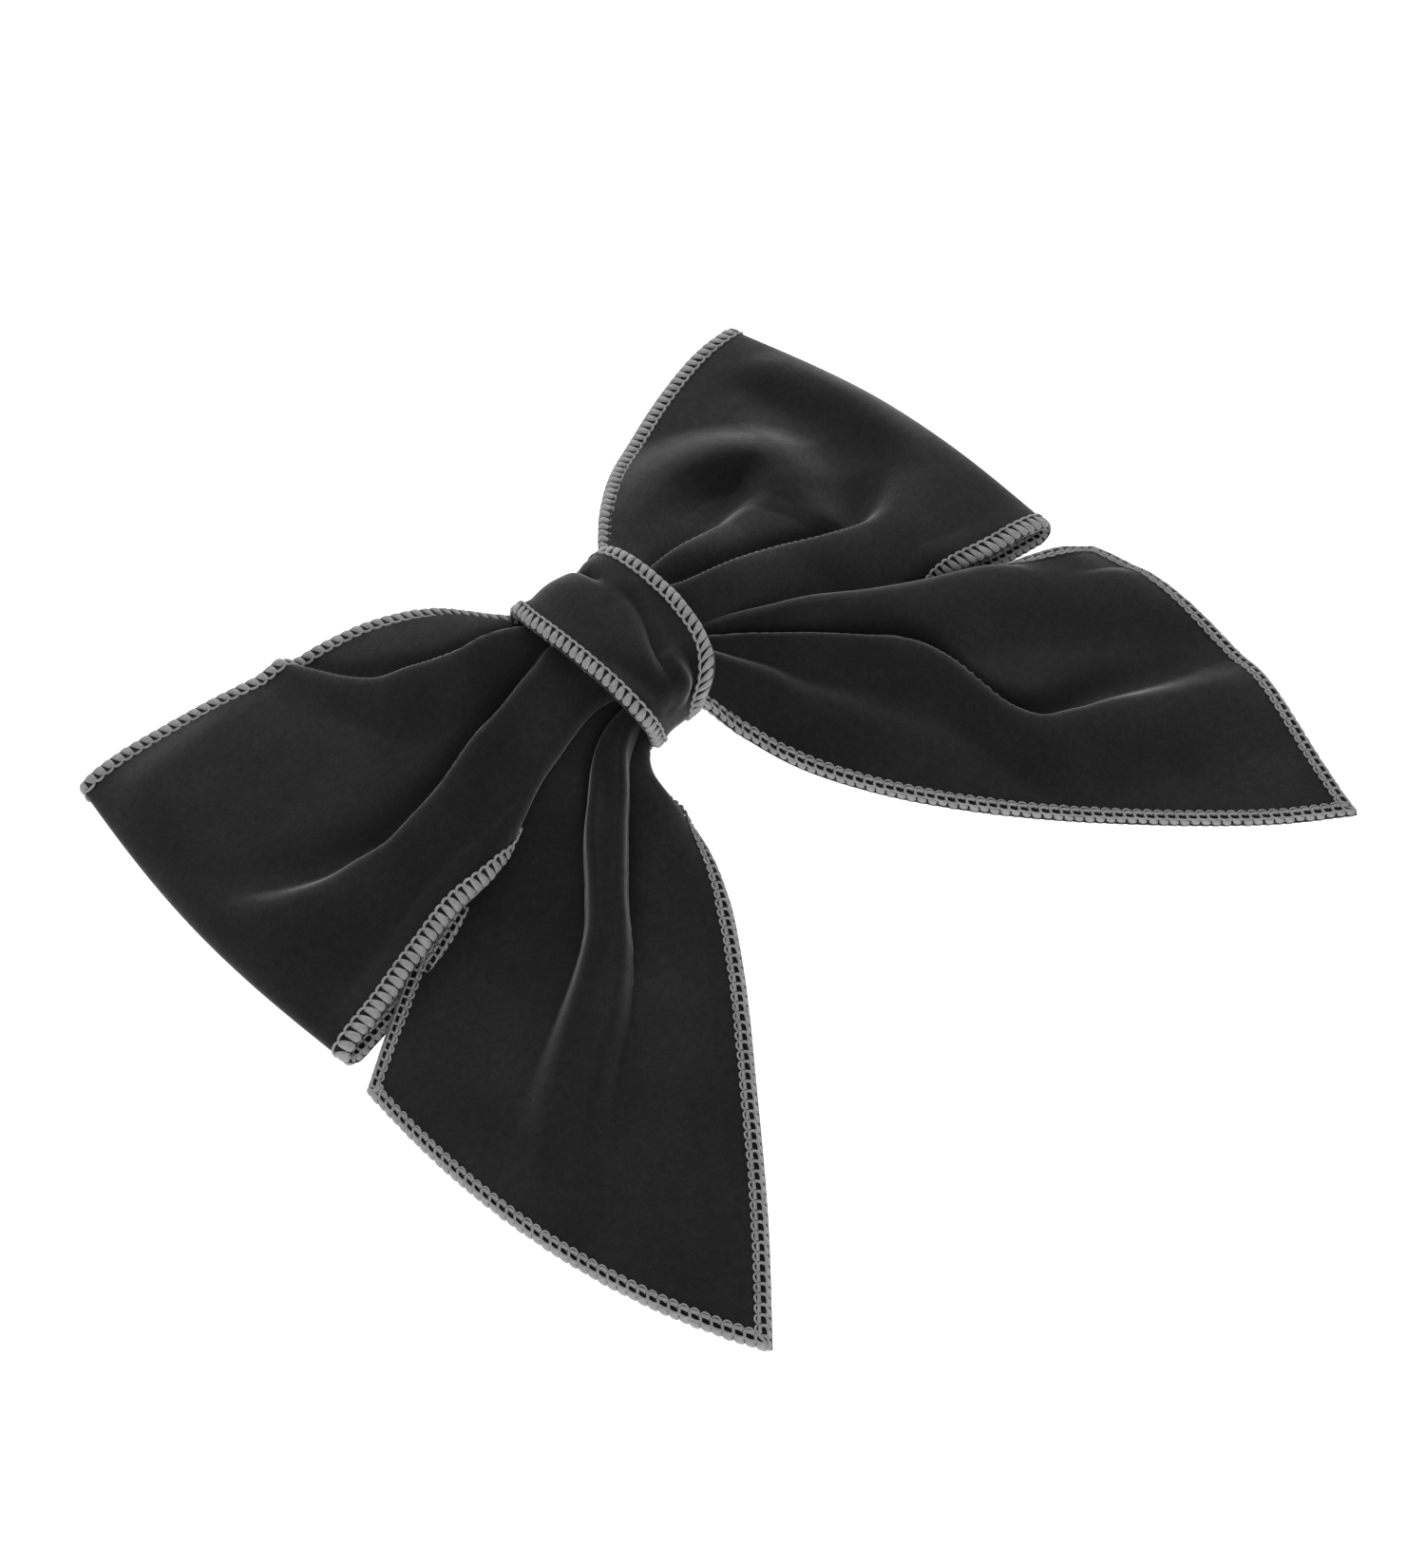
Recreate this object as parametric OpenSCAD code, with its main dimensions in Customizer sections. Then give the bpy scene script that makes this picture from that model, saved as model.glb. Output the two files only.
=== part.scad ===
// Velvet hair bow on a flat barrette.
// The bow lies on its back with its front up: +X and -X run along the loops, -Y towards the tails.
// The origin is under the middle of the knot, on the surface that the clasp arm lies on.

/* [Ribbon] */
// Thickness of the velvet ribbon with its pile
ribbon_t = 1.5; // [1.2:0.1:1.8]
// Thickness of one gathered layer inside the knot
gathered_t = 3.4; // [3.0:0.1:3.6]
// Height of the pleats where the loops and tails leave the knot
pleat_h = 0.7; // [0:0.1:0.9]
// Height that the upper layer of a loop puffs up in its middle
loop_crown = 2.6; // [0:0.2:4]
// Radius of the fold at the outer end of a loop
fold_r = 1.65; // [1.5:0.05:1.8]

/* [Edge stitching] */
// Width of the overlock stitching along an edge
edge_w = 2.9; // [2.4:0.1:3.2]
// Height of the overlock stitching
edge_h = 2.2; // [1.8:0.1:2.4]

/* [Knot] */
// Outer width of the knot across the loops
knot_w = 37; // [36.4:0.2:38]
// How far the knot's middle lies above the barrette's middle line
knot_y = 2.5; // [2:0.1:3]
// Height of the knot's top above the table
knot_top = 28; // [27.8:0.1:30]
// Thickness of the wrap
wrap_t = 1.7; // [1.4:0.1:1.8]
// Half the wrap's width along the loops, over the top
wrap_half = 11.4; // [9:0.2:12]
// Half the wrap's width between the tails and under the barrette
wrap_half_under = 5.4; // [5:0.2:6]

/* [Barrette] */
// Length of the barrette's base plate
plate_l = 70; // [64:1:72]
// Width of the base plate
plate_w = 8; // [7:0.5:9]
// Height of the base plate's underside above the table
plate_z = 9.8; // [9.6:0.1:10]
// Thickness of the steel strip
steel_t = 0.8; // [0.6:0.1:0.8]
// Width of the clasp arm
arm_w = 4.6; // [4:0.2:5]
// Diameter of the hinge pin
pin_d = 1.2; // [1:0.1:1.4]

/* [Hidden] */
velvet = [0.11, 0.11, 0.115];
thread = [0.45, 0.45, 0.45];
steel = [0.72, 0.73, 0.75];

// Edges of the right loop, from the middle of the knot to the fold: the upper layer, then the lower one.
top_upper = [[0, 12.5, 22.7], [13, 15, 22.3], [24, 29, 19.5], [38, 37, 16.5],
    [50, 41.5, 13.5], [63, 46, 10.2], [75, 49.3, 7.2], [82, 51, 5.2]];
top_lower = [[0, -8.5, 22.7], [13, -10, 22.4], [26, -12, 20.5], [42, -16.5, 17.3],
    [56, -21, 12.5], [70, -23, 9], [80, -24, 6.5], [87, -24, 5.2]];
under_upper = [[0, 15, 18.2], [13, 16, 17.8], [24, 29, 15.8], [38, 37, 12.8],
    [50, 41.5, 7.4], [63, 46, 2.7], [75, 49.3, 1.4], [82, 51, 1.9]];
under_lower = [[0, -10, 18.2], [13, -10.5, 18.2], [26, -12, 17.2], [42, -16.5, 14.3],
    [56, -21, 9.6], [70, -23, 4.9], [80, -24, 2.7], [87, -24, 1.9]];
// Edges of the right tail, from the middle of the knot to the slanting cut: the short one, then the long one.
tail_outer = [[0, 13, 13.7], [13, 12, 13.3], [25, 6, 12.9], [36, -1, 12.2],
    [46, -8, 8.4], [58, -17, 3.6], [72, -24.5, 1.7], [88, -33, 1.1]];
tail_inner = [[0, -8.5, 13.7], [6.5, -9.5, 13.3], [10, -15.5, 12.1], [12.5, -29, 7.6],
    [17, -45, 3.2], [29, -62, 1.5], [47, -83, 1], [73, -110, 0.9]];
// How far the slanting cut bulges outwards in its middle.
cut_bulge = 6;

steps = 2;          // rings between two of the stations above
across = 6;         // strips across the ribbon
fold_steps = 5;     // rings round the fold at a loop's end
last = len(top_upper) - 1;
wrap_gap = 0.3;     // clearance between the wrap and the base plate
knot_under = plate_z - wrap_gap - wrap_t;
knot_mid = (knot_top + knot_under) / 2;
knot_half_h = (knot_top - knot_under) / 2;
knot_power = 3.6;   // roundness of the knot's section: 2 is an ellipse, and more is boxier
knot_ring = 48;     // points round the knot
arm_t = steel_t;
pin_r = pin_d / 2;
hinge_x = plate_l / 2 - 2;
hinge_z = 1.6;      // the arm's knuckle is tangent to its underside
knuckle_r = hinge_z;
ear_y = 3.2;        // inner face of the hinge ears
ear_t = 0.8;
catch_x = -hinge_x;

// ---- Points and vectors ----

function unit(v) = v / norm(v);
function mirrored(p) = [-p[0], p[1], p[2]];
function reversed(list) = [for (i = [len(list) - 1:-1:0]) list[i]];
function ease(t) = let (c = min(1, max(0, t))) c * c * (3 - 2 * c);

// A point on the smooth curve through a list of stations, where t counts stations.
function on_curve(p, t) =
    let (i = min(floor(t), len(p) - 2), f = t - i,
        a = i > 0 ? p[i - 1] : 2 * p[0] - p[1], b = p[i], c = p[i + 1],
        d = i + 2 < len(p) ? p[i + 2] : 2 * p[i + 1] - p[i])
    0.5 * (2 * b + (c - a) * f + (2 * a - 5 * b + 4 * c - d) * f * f
        + (3 * b - 3 * c + d - a) * f * f * f);

// Pleats are deepest just outside the knot and fade along the ribbon.
function pleat(t, v) = pleat_h * ease(t - 0.2) * ease((5.5 - t) / 4) * cos(1080 * v);
function layer_t(t) = ribbon_t + (gathered_t - ribbon_t) * ease((2.2 - t) / 1.6);

// ---- Rows of points across each ribbon, from its lower or inner edge to its upper or outer one ----

function loop_row(lower, upper, t, crown) =
    [for (j = [0:across]) let (v = j / across, a = on_curve(lower, t), b = on_curve(upper, t))
        a + (b - a) * v + [0, 0, pleat(t, v) + crown * ease(t / 3) * ease((last - t) / 3) * sin(180 * v)]];

// A row on the half circle that joins the two layers of a loop.
function fold_row(angle) =
    let (low = on_curve(top_lower, last), high = on_curve(top_upper, last))
    [for (j = [0:across]) let (v = j / across)
        low + (high - low) * v + [fold_r * sin(angle), 0, fold_r * (cos(angle) - 1)]];

function half_loop() = concat(
    [for (i = [0:last * steps]) loop_row(top_lower, top_upper, i / steps, loop_crown)],
    [for (k = [1:fold_steps - 1]) fold_row(180 * k / fold_steps)],
    [for (i = [last * steps:-1:0]) loop_row(under_lower, under_upper, i / steps, 0)]);

// The slanting cut pushes the last rows out in the middle of the tail.
function tail_row(t) =
    let (a = on_curve(tail_inner, t), b = on_curve(tail_outer, t), out = unit([1, -0.6, 0]))
    [for (j = [0:across]) let (v = j / across)
        a + (b - a) * v + out * cut_bulge * ease((t - 4) / 3) * sin(180 * v)
        + [0, 0, pleat(t, v) * 0.35]];

function half_tail() = [for (i = [0:last * steps]) tail_row(i / steps)];

function layer_list(rows) = [for (i = [0:len(rows) - 1]) layer_t(rows[i])];

// ---- Solids ----

// The direction square to the sheet at one of its points.
function sheet_normal(rows, i, j) =
    let (n = len(rows) - 1, m = len(rows[0]) - 1,
        along = rows[min(i + 1, n)][j] - rows[max(i - 1, 0)][j],
        over = rows[i][min(j + 1, m)] - rows[i][max(j - 1, 0)])
    unit(cross(along, over));

// A sheet of cloth with the thickness of each of its rows, as one closed solid.
module sheet(rows, thick) {
    n = len(rows);
    m = len(rows[0]);
    above = [for (i = [0:n - 1]) for (j = [0:m - 1]) rows[i][j] + sheet_normal(rows, i, j) * thick[i] / 2];
    below = [for (i = [0:n - 1]) for (j = [0:m - 1]) rows[i][j] - sheet_normal(rows, i, j) * thick[i] / 2];
    o = n * m;
    function at(i, j) = i * m + j;
    faces = concat(
        [for (i = [0:n - 2]) for (j = [0:m - 2]) each [
            [at(i, j), at(i + 1, j + 1), at(i + 1, j)], [at(i, j), at(i, j + 1), at(i + 1, j + 1)],
            [o + at(i, j), o + at(i + 1, j), o + at(i + 1, j + 1)],
            [o + at(i, j), o + at(i + 1, j + 1), o + at(i, j + 1)]]],
        [for (i = [0:n - 2]) each [
            [at(i, 0), at(i + 1, 0), o + at(i + 1, 0)], [at(i, 0), o + at(i + 1, 0), o + at(i, 0)],
            [at(i, m - 1), o + at(i + 1, m - 1), at(i + 1, m - 1)],
            [at(i, m - 1), o + at(i, m - 1), o + at(i + 1, m - 1)]]],
        [for (j = [0:m - 2]) each [
            [at(0, j), o + at(0, j), o + at(0, j + 1)], [at(0, j), o + at(0, j + 1), at(0, j + 1)],
            [at(n - 1, j), o + at(n - 1, j + 1), o + at(n - 1, j)],
            [at(n - 1, j), at(n - 1, j + 1), o + at(n - 1, j + 1)]]]);
    polyhedron(concat(above, below), faces);
}

// A cord of oval section along a path. side is the direction of its width at each point.
module cord(path, side, wide, high, closed = false) {
    n = len(path);
    sides = 8;
    points = [for (i = [0:n - 1])
        let (before = closed ? path[(i + n - 1) % n] : path[max(i - 1, 0)],
            after = closed ? path[(i + 1) % n] : path[min(i + 1, n - 1)],
            along = unit(after - before),
            w = unit(side[i] - (side[i] * along) * along),
            up = cross(w, along))
        for (k = [0:sides - 1]) let (a = 360 * (k + 0.5) / sides)
            path[i] + w * cos(a) * wide / 2 + up * sin(a) * high / 2];
    function at(i, k) = (i % n) * sides + k % sides;
    walls = [for (i = [0:closed ? n - 1 : n - 2]) for (k = [0:sides - 1]) each [
        [at(i, k), at(i, k + 1), at(i + 1, k + 1)], [at(i, k), at(i + 1, k + 1), at(i + 1, k)]]];
    ends = closed ? [] : [
        [for (k = [sides - 1:-1:0]) at(0, k)],
        [for (k = [0:sides - 1]) at(n - 1, k)]];
    polyhedron(points, concat(walls, ends));
}

// ---- Ribbons ----

// One strip of velvet: its two ends meet under the middle of the bow.
module loop_ribbon() {
    right = half_loop();
    left = [for (row = reversed(right)) [for (p = row) mirrored(p)]];
    stations = concat([for (i = [0:last * steps]) i / steps],
        [for (k = [1:fold_steps - 1]) last], [for (i = [last * steps:-1:0]) i / steps]);
    seam = 0.3;
    open_right = [for (i = [0:len(right) - 1])
        i < len(right) - 1 ? right[i] : [for (p = right[i]) p + [seam, 0, 0]]];
    open_left = [for (i = [0:len(left) - 2])
        i > 0 ? left[i] : [for (p = left[i]) p - [seam, 0, 0]]];
    rows = concat(open_left, open_right);
    thick = concat([for (i = [len(stations) - 1:-1:1]) layer_t(stations[i])],
        [for (s = stations) layer_t(s)]);
    color(velvet) sheet(rows, thick);
}

module tail_ribbon() {
    right = half_tail();
    left = [for (row = reversed(right)) [for (p = row) mirrored(p)]];
    rows = concat([for (i = [0:len(left) - 2]) left[i]], right);
    stations = [for (i = [0:last * steps]) i / steps];
    thick = concat([for (i = [len(stations) - 1:-1:1]) layer_t(stations[i])],
        [for (s = stations) layer_t(s)]);
    color(velvet) sheet(rows, thick);
}

// ---- Knot ----

function power(x) = sign(x) * pow(abs(x), 2 / knot_power);
// A point of the knot's section, inset from its outside.
function knot_point(a, inset) =
    [0, knot_y + (knot_w / 2 - inset) * power(cos(a)), knot_mid + (knot_half_h - inset) * power(sin(a))];
// Half the wrap's width at that angle: full over the top, and drawn in between the tails and underneath.
function knot_half(a) = wrap_half_under + (wrap_half - wrap_half_under) * ease((sin(a + 25) + 0.35) / 1.1);

module knot_wrap() {
    columns = 4;
    n = knot_ring;
    m = columns + 1;
    function skin(inset) = [for (i = [0:n - 1]) for (j = [0:columns])
        let (a = 360 * i / n) knot_point(a, inset) + [knot_half(a) * (2 * j / columns - 1), 0, 0]];
    o = n * m;
    function at(i, j) = (i % n) * m + j;
    faces = [for (i = [0:n - 1]) each concat(
        [for (j = [0:columns - 1]) each [
            [at(i, j), at(i + 1, j), at(i + 1, j + 1)], [at(i, j), at(i + 1, j + 1), at(i, j + 1)],
            [o + at(i, j), o + at(i + 1, j + 1), o + at(i + 1, j)],
            [o + at(i, j), o + at(i, j + 1), o + at(i + 1, j + 1)]]],
        [[at(i, 0), o + at(i + 1, 0), at(i + 1, 0)], [at(i, 0), o + at(i, 0), o + at(i + 1, 0)],
            [at(i, columns), at(i + 1, columns), o + at(i + 1, columns)],
            [at(i, columns), o + at(i + 1, columns), o + at(i, columns)]])];
    color(velvet) polyhedron(concat(skin(0), skin(wrap_t)), faces);
}

module knot_edge(side) {
    path = [for (i = [0:knot_ring - 1]) let (a = 360 * i / knot_ring)
        knot_point(a, wrap_t / 2) + [side * (knot_half(a) + 0.4), 0, 0]];
    width = [for (p = path) [1, 0, 0]];
    color(thread) cord(path, width, 2.4, 2.1, closed = true);
}

module knot_edge_left() { knot_edge(-1); }
module knot_edge_right() { knot_edge(1); }

// Three turns of thread that gather the loops and the tails, inside the wrap and above the base plate.
module gather_thread() {
    thread_t = 0.5;
    low = 11.2;
    high = 25;
    half = 15.9;
    corner_r = 4;
    module outline(inset) {
        r = corner_r - inset;
        for (y = [-1, 1]) for (z = [low + corner_r, high - corner_r])
            translate([y * (half - corner_r), z]) circle(r = r, $fn = 48);
        translate([corner_r - half, low + inset]) square([2 * (half - corner_r), high - low - 2 * inset]);
        translate([inset - half, low + corner_r]) square([2 * (half - inset), high - low - 2 * corner_r]);
    }
    color(thread) for (i = [-1:1])
        translate([i * 0.9 - thread_t / 2, knot_y, 0]) rotate([90, 0, 90])
            linear_extrude(thread_t) difference() {
                outline(0);
                outline(thread_t);
            }
}

// ---- Overlock stitching ----

edge_lift = edge_h / 2 - ribbon_t / 2;
edge_seam = 0.3;    // half the gap where the loops' two ends meet

// From the strip's one end, round the right loop, across the knot and round the left loop to the other end.
module loop_edge(v) {
    rows = half_loop();
    j = v * across;
    half = [for (i = [0:len(rows) - 1]) rows[i][j] + [i == len(rows) - 1 ? edge_seam : 0, 0, 0]];
    turn = [for (row = rows) unit(row[across] - row[0])];
    path = concat(reversed(half), [for (i = [1:len(half) - 1]) mirrored(half[i])]);
    side = concat(reversed(turn), [for (i = [1:len(turn) - 1]) mirrored(turn[i])]);
    color(thread) cord(path, side, edge_w, edge_h);
}

module loop_edge_upper() { loop_edge(1); }
module loop_edge_lower() { loop_edge(0); }

// Right round the tails: out along a short edge, down the slanting cut and back along the long edge.
module tail_edge() {
    rows = half_tail();
    n = len(rows) - 1;
    half = concat(
        [for (i = [0:n - 1]) rows[i][across]],
        [for (j = [across:-1:0]) rows[n][j]],
        [for (i = [n - 1:-1:0]) rows[i][0]]);
    path = [for (p = concat(half, [for (i = [len(half) - 2:-1:1]) mirrored(half[i])])) p + [0, 0, edge_lift]];
    count = len(path);
    side = [for (i = [0:count - 1]) unit(cross(path[(i + 1) % count] - path[(i + count - 1) % count], [0, 0, 1]))];
    color(thread) cord(path, side, edge_w, edge_h, closed = true);
}

// ---- Barrette ----

module rounded_strip(l, w, t) {
    linear_extrude(t) {
        square([l - w, w], center = true);
        for (s = [-1, 1]) translate([s * (l - w) / 2, 0]) circle(d = w, $fn = 64);
    }
}

// The steel base that the bow is wrapped round, with the hinge ears and the two sprung catch legs.
module base_plate() {
    hole_d = 1.6;
    leg_w = 3;
    leg_y = 2.3;
    leg_t = 0.6;
    barb = 0.5;
    lug_z = plate_z - 1.9;
    color(steel) difference() {
        union() {
            translate([0, 0, plate_z]) rounded_strip(plate_l, plate_w, steel_t);
            for (s = [-1, 1]) {
                translate([hinge_x - 1.3, s > 0 ? ear_y : -ear_y - ear_t, hinge_z])
                    cube([2.6, ear_t, plate_z - hinge_z + steel_t / 2]);
                translate([hinge_x, s * (ear_y + ear_t / 2), hinge_z]) rotate([90, 0, 0])
                    cylinder(r = 1.3, h = ear_t, center = true, $fn = 48);
                translate([catch_x - leg_w / 2, s > 0 ? leg_y : -leg_y - leg_t, 0.5])
                    cube([leg_w, leg_t, plate_z - 0.5 + steel_t / 2]);
                translate([catch_x - leg_w / 2, s > 0 ? leg_y : -leg_y - leg_t - barb, 0.5])
                    cube([leg_w, leg_t + barb, 0.8]);
            }
        }
        for (s = [-1, 1]) for (x = [24, 28])
            translate([s * x, 0, plate_z - 1]) cylinder(d = hole_d, h = 3, $fn = 32);
        translate([hinge_x, 0, hinge_z]) rotate([90, 0, 0])
            cylinder(r = pin_r, h = plate_w + 4, center = true, $fn = 48);
        // Slots in the ears for the tension bar's lugs.
        translate([hinge_x - 0.8, -plate_w, lug_z - 0.5]) cube([1.6, 2 * plate_w, 1]);
    }
}

// A thin bowed spring strip that presses the hair against the clasp arm.
module tension_bar() {
    bar_t = 0.5;
    bar_w = 5;
    end_x = 29;
    end_z = plate_z - 0.7;
    dip = 2.8;
    r = (end_x * end_x + dip * dip) / (2 * dip);
    lug_z = plate_z - 1.9 - 0.25;
    color(steel) {
        intersection() {
            translate([0, 0, end_z - dip + r]) rotate([90, 0, 0]) difference() {
                cylinder(r = r, h = bar_w, center = true, $fn = 200);
                cylinder(r = r - bar_t, h = bar_w + 1, center = true, $fn = 200);
            }
            translate([-end_x, -bar_w, 0]) cube([2 * end_x, 2 * bar_w, plate_z - 0.1]);
        }
        // The hinge end turns down a little and ends in a lug through each ear.
        translate([end_x - 1, -bar_w / 2, lug_z]) cube([hinge_x - end_x + 1.5, bar_w, bar_t]);
        translate([hinge_x - 0.5, -ear_y - ear_t - 0.3, lug_z]) cube([1, 2 * (ear_y + ear_t + 0.3), bar_t]);
        translate([end_x - 1, -bar_w / 2, lug_z]) cube([0.5, bar_w, end_z - lug_z]);
    }
}

// A straight strip with a knuckle on the hinge pin and a slotted head that snaps over the catch legs.
module clasp_arm() {
    head_l = 6;
    head_w = 9;
    slot_l = 3.8;
    slot_w = 7.2;
    clearance = 0.05;
    color(steel) difference() {
        union() {
            translate([catch_x + head_l / 2 - 0.5, -arm_w / 2, 0])
                cube([hinge_x - catch_x - head_l / 2 + 0.5, arm_w, arm_t]);
            translate([hinge_x, 0, hinge_z]) rotate([90, 0, 0])
                cylinder(r = knuckle_r, h = arm_w, center = true, $fn = 64);
            translate([catch_x - head_l / 2, -head_w / 2, 0]) cube([head_l, head_w, arm_t]);
        }
        translate([hinge_x, 0, hinge_z]) rotate([90, 0, 0])
            cylinder(r = pin_r + clearance, h = arm_w + 2, center = true, $fn = 64);
        translate([catch_x - slot_l / 2, -slot_w / 2, -1]) cube([slot_l, slot_w, arm_t + 2]);
    }
}

module hinge_pin() {
    head_t = 0.4;
    half = ear_y + ear_t;
    color(steel) translate([hinge_x, 0, hinge_z]) rotate([90, 0, 0]) {
        cylinder(r = pin_r, h = 2 * half, center = true, $fn = 48);
        for (s = [-1, 1]) translate([0, 0, s * (half + head_t / 2)])
            cylinder(r = pin_r + 0.4, h = head_t, center = true, $fn = 48);
    }
}

loop_ribbon();
tail_ribbon();
knot_wrap();
loop_edge_upper();
loop_edge_lower();
tail_edge();
knot_edge_left();
knot_edge_right();
gather_thread();
base_plate();
tension_bar();
clasp_arm();
hinge_pin();
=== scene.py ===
"""A velvet hair bow with overlocked edges on a flat barrette, lying on its back on a pale table.

The ribbons are grown from their edge curves and fold lines, in millimetres in the CAD frame, and
the overlock stitching is laid stitch by stitch along the edges of the finished cloth.
"""

import math

import bpy
import numpy as np
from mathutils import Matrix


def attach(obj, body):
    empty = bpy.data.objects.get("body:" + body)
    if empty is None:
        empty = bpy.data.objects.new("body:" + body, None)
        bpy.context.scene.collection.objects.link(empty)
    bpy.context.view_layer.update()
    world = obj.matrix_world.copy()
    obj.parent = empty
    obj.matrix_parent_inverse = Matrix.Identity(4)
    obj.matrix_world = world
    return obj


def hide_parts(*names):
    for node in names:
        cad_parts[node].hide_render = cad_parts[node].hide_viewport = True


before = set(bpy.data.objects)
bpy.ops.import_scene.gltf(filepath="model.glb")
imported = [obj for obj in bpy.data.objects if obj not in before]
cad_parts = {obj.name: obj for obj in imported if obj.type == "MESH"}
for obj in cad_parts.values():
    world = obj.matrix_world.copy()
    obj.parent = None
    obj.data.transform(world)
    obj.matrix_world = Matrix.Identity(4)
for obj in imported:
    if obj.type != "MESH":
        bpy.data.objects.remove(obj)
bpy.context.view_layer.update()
MM = 0.001
FULL_TURN = 2 * math.pi

# ---- Camera, light and floor -------------------------------------------------------------------

CAMERA_AIM = (-0.0003, -0.0193, 0)
CAMERA_AZIMUTH = -45
CAMERA_ELEVATION = 51
CAMERA_DISTANCE = 0.592
SENSOR = 36
LENS = SENSOR * 3500 / 1650     # a focal length of 3500 pixels, in a frame 1650 pixels high
FLOOR_HALF = 12.0
FLOOR_DROP = 0.0002             # keeps the floor clear of the clip's flat underside
FLOOR_WHITE = (0.95, 0.95, 0.95, 1)
WHITE = (1, 1, 1, 1)


def look_from(target, azimuth, elevation, distance):
    """A camera position and rotation that looks at target."""
    a, e = math.radians(azimuth), math.radians(elevation)
    back = (math.sin(a) * math.cos(e), -math.cos(a) * math.cos(e), math.sin(e))
    place = [target[i] + distance * back[i] for i in range(3)]
    return place, (math.pi / 2 - e, 0, a)


def make_camera():
    data = bpy.data.cameras.new("camera")
    data.sensor_width = SENSOR
    data.lens = LENS
    data.clip_start = 0.02
    cam = bpy.data.objects.new("camera", data)
    cam.location, cam.rotation_euler = look_from(
        CAMERA_AIM, CAMERA_AZIMUTH, CAMERA_ELEVATION, CAMERA_DISTANCE)
    bpy.context.collection.objects.link(cam)
    bpy.context.scene.camera = cam


def area_light(name, place, aim, size, power):
    data = bpy.data.lights.new(name, "AREA")
    data.shape = "DISK"
    data.size = size
    data.energy = power
    lamp = bpy.data.objects.new(name, data)
    lamp.location = place
    direction = np.array(aim) - np.array(place)
    flat = math.hypot(direction[0], direction[1])
    tilt, turn = math.atan2(flat, -direction[2]), math.atan2(-direction[0], direction[1])
    lamp.rotation_euler = (tilt, 0, turn)
    bpy.context.collection.objects.link(lamp)


def make_stage():
    bpy.context.scene.view_settings.view_transform = "Standard"
    world = bpy.data.worlds.new("studio")
    world.use_nodes = True
    background = world.node_tree.nodes["Background"]
    background.inputs["Color"].default_value = WHITE
    background.inputs["Strength"].default_value = 0.8
    bpy.context.scene.world = world
    mesh = bpy.data.meshes.new("floor")
    r = FLOOR_HALF
    mesh.from_pydata([(-r, -r, 0), (r, -r, 0), (r, r, 0), (-r, r, 0)], [], [(0, 1, 2, 3)])
    floor = bpy.data.objects.new("floor", mesh)
    floor.location.z = -FLOOR_DROP
    bpy.context.collection.objects.link(floor)
    m = Nodes("floor_white")
    m.surface({"Base Color": FLOOR_WHITE, "Roughness": 0.8,
               "Emission Color": WHITE, "Emission Strength": 0.8})
    mesh.materials.append(m.mat)
    area_light("softbox_front", (-0.65, -0.75, 0.4), (0, 0, 0), 0.9, 9)
    area_light("softbox_back", (0.6, 0.8, 0.55), (0, 0, 0), 0.9, 10)


# ---- Materials ---------------------------------------------------------------------------------


class Nodes:
    """A small helper that wires a node material together."""

    def __init__(self, name):
        self.mat = bpy.data.materials.new(name)
        self.mat.use_nodes = True
        self.tree = self.mat.node_tree
        self.bsdf = self.tree.nodes["Principled BSDF"]

    def surface(self, values):
        """Settings that are the same all over the surface."""
        for key, value in values.items():
            self.bsdf.inputs[key].default_value = value

    def add(self, kind, **values):
        node = self.tree.nodes.new(kind)
        for key, value in values.items():
            if key in node.inputs:
                node.inputs[key].default_value = value
            else:
                setattr(node, key, value)
        return node

    def wire(self, a, b):
        self.tree.links.new(a, b)

    def noise(self, coords, scale, detail, rough, stretch=None):
        tex = self.add("ShaderNodeTexNoise", Scale=scale, Detail=detail, Roughness=rough)
        if stretch:
            mapping = self.add("ShaderNodeMapping")
            mapping.inputs["Scale"].default_value = stretch
            self.wire(coords, mapping.inputs["Vector"])
            coords = mapping.outputs["Vector"]
        self.wire(coords, tex.inputs["Vector"])
        return tex.outputs["Fac"]

    def ramp(self, fac, *stops):
        node = self.tree.nodes.new("ShaderNodeValToRGB")
        ramp = node.color_ramp
        while len(ramp.elements) < len(stops):
            ramp.elements.new(0.5)
        for element, (at, color) in zip(ramp.elements, stops):
            element.position = at
            element.color = (*color, 1) if hasattr(color, "__len__") else (color, color, color, 1)
        self.wire(fac, node.inputs["Fac"])
        return node.outputs["Color"]

    def math(self, op, a, b):
        node = self.add("ShaderNodeMath", operation=op)
        for i, value in enumerate((a, b)):
            if hasattr(value, "is_output"):
                self.wire(value, node.inputs[i])
            else:
                node.inputs[i].default_value = value
        return node.outputs["Value"]

    def blend(self, a, a_share, b, b_share):
        """Two textures added up, each with its share."""
        a, b = self.math("MULTIPLY", a, a_share), self.math("MULTIPLY", b, b_share)
        return self.math("ADD", a, b)

    def multiply(self, a, b):
        """Two colours multiplied."""
        node = self.add("ShaderNodeMix", data_type="RGBA", blend_type="MULTIPLY")
        node.inputs["Factor"].default_value = 1.0
        self.wire(a, node.inputs[6])
        self.wire(b, node.inputs[7])
        return node.outputs[2]

    def bump(self, height, strength, distance):
        node = self.add("ShaderNodeBump", Strength=strength, Distance=distance)
        self.wire(height, node.inputs["Height"])
        self.wire(node.outputs["Normal"], self.bsdf.inputs["Normal"])


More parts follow.
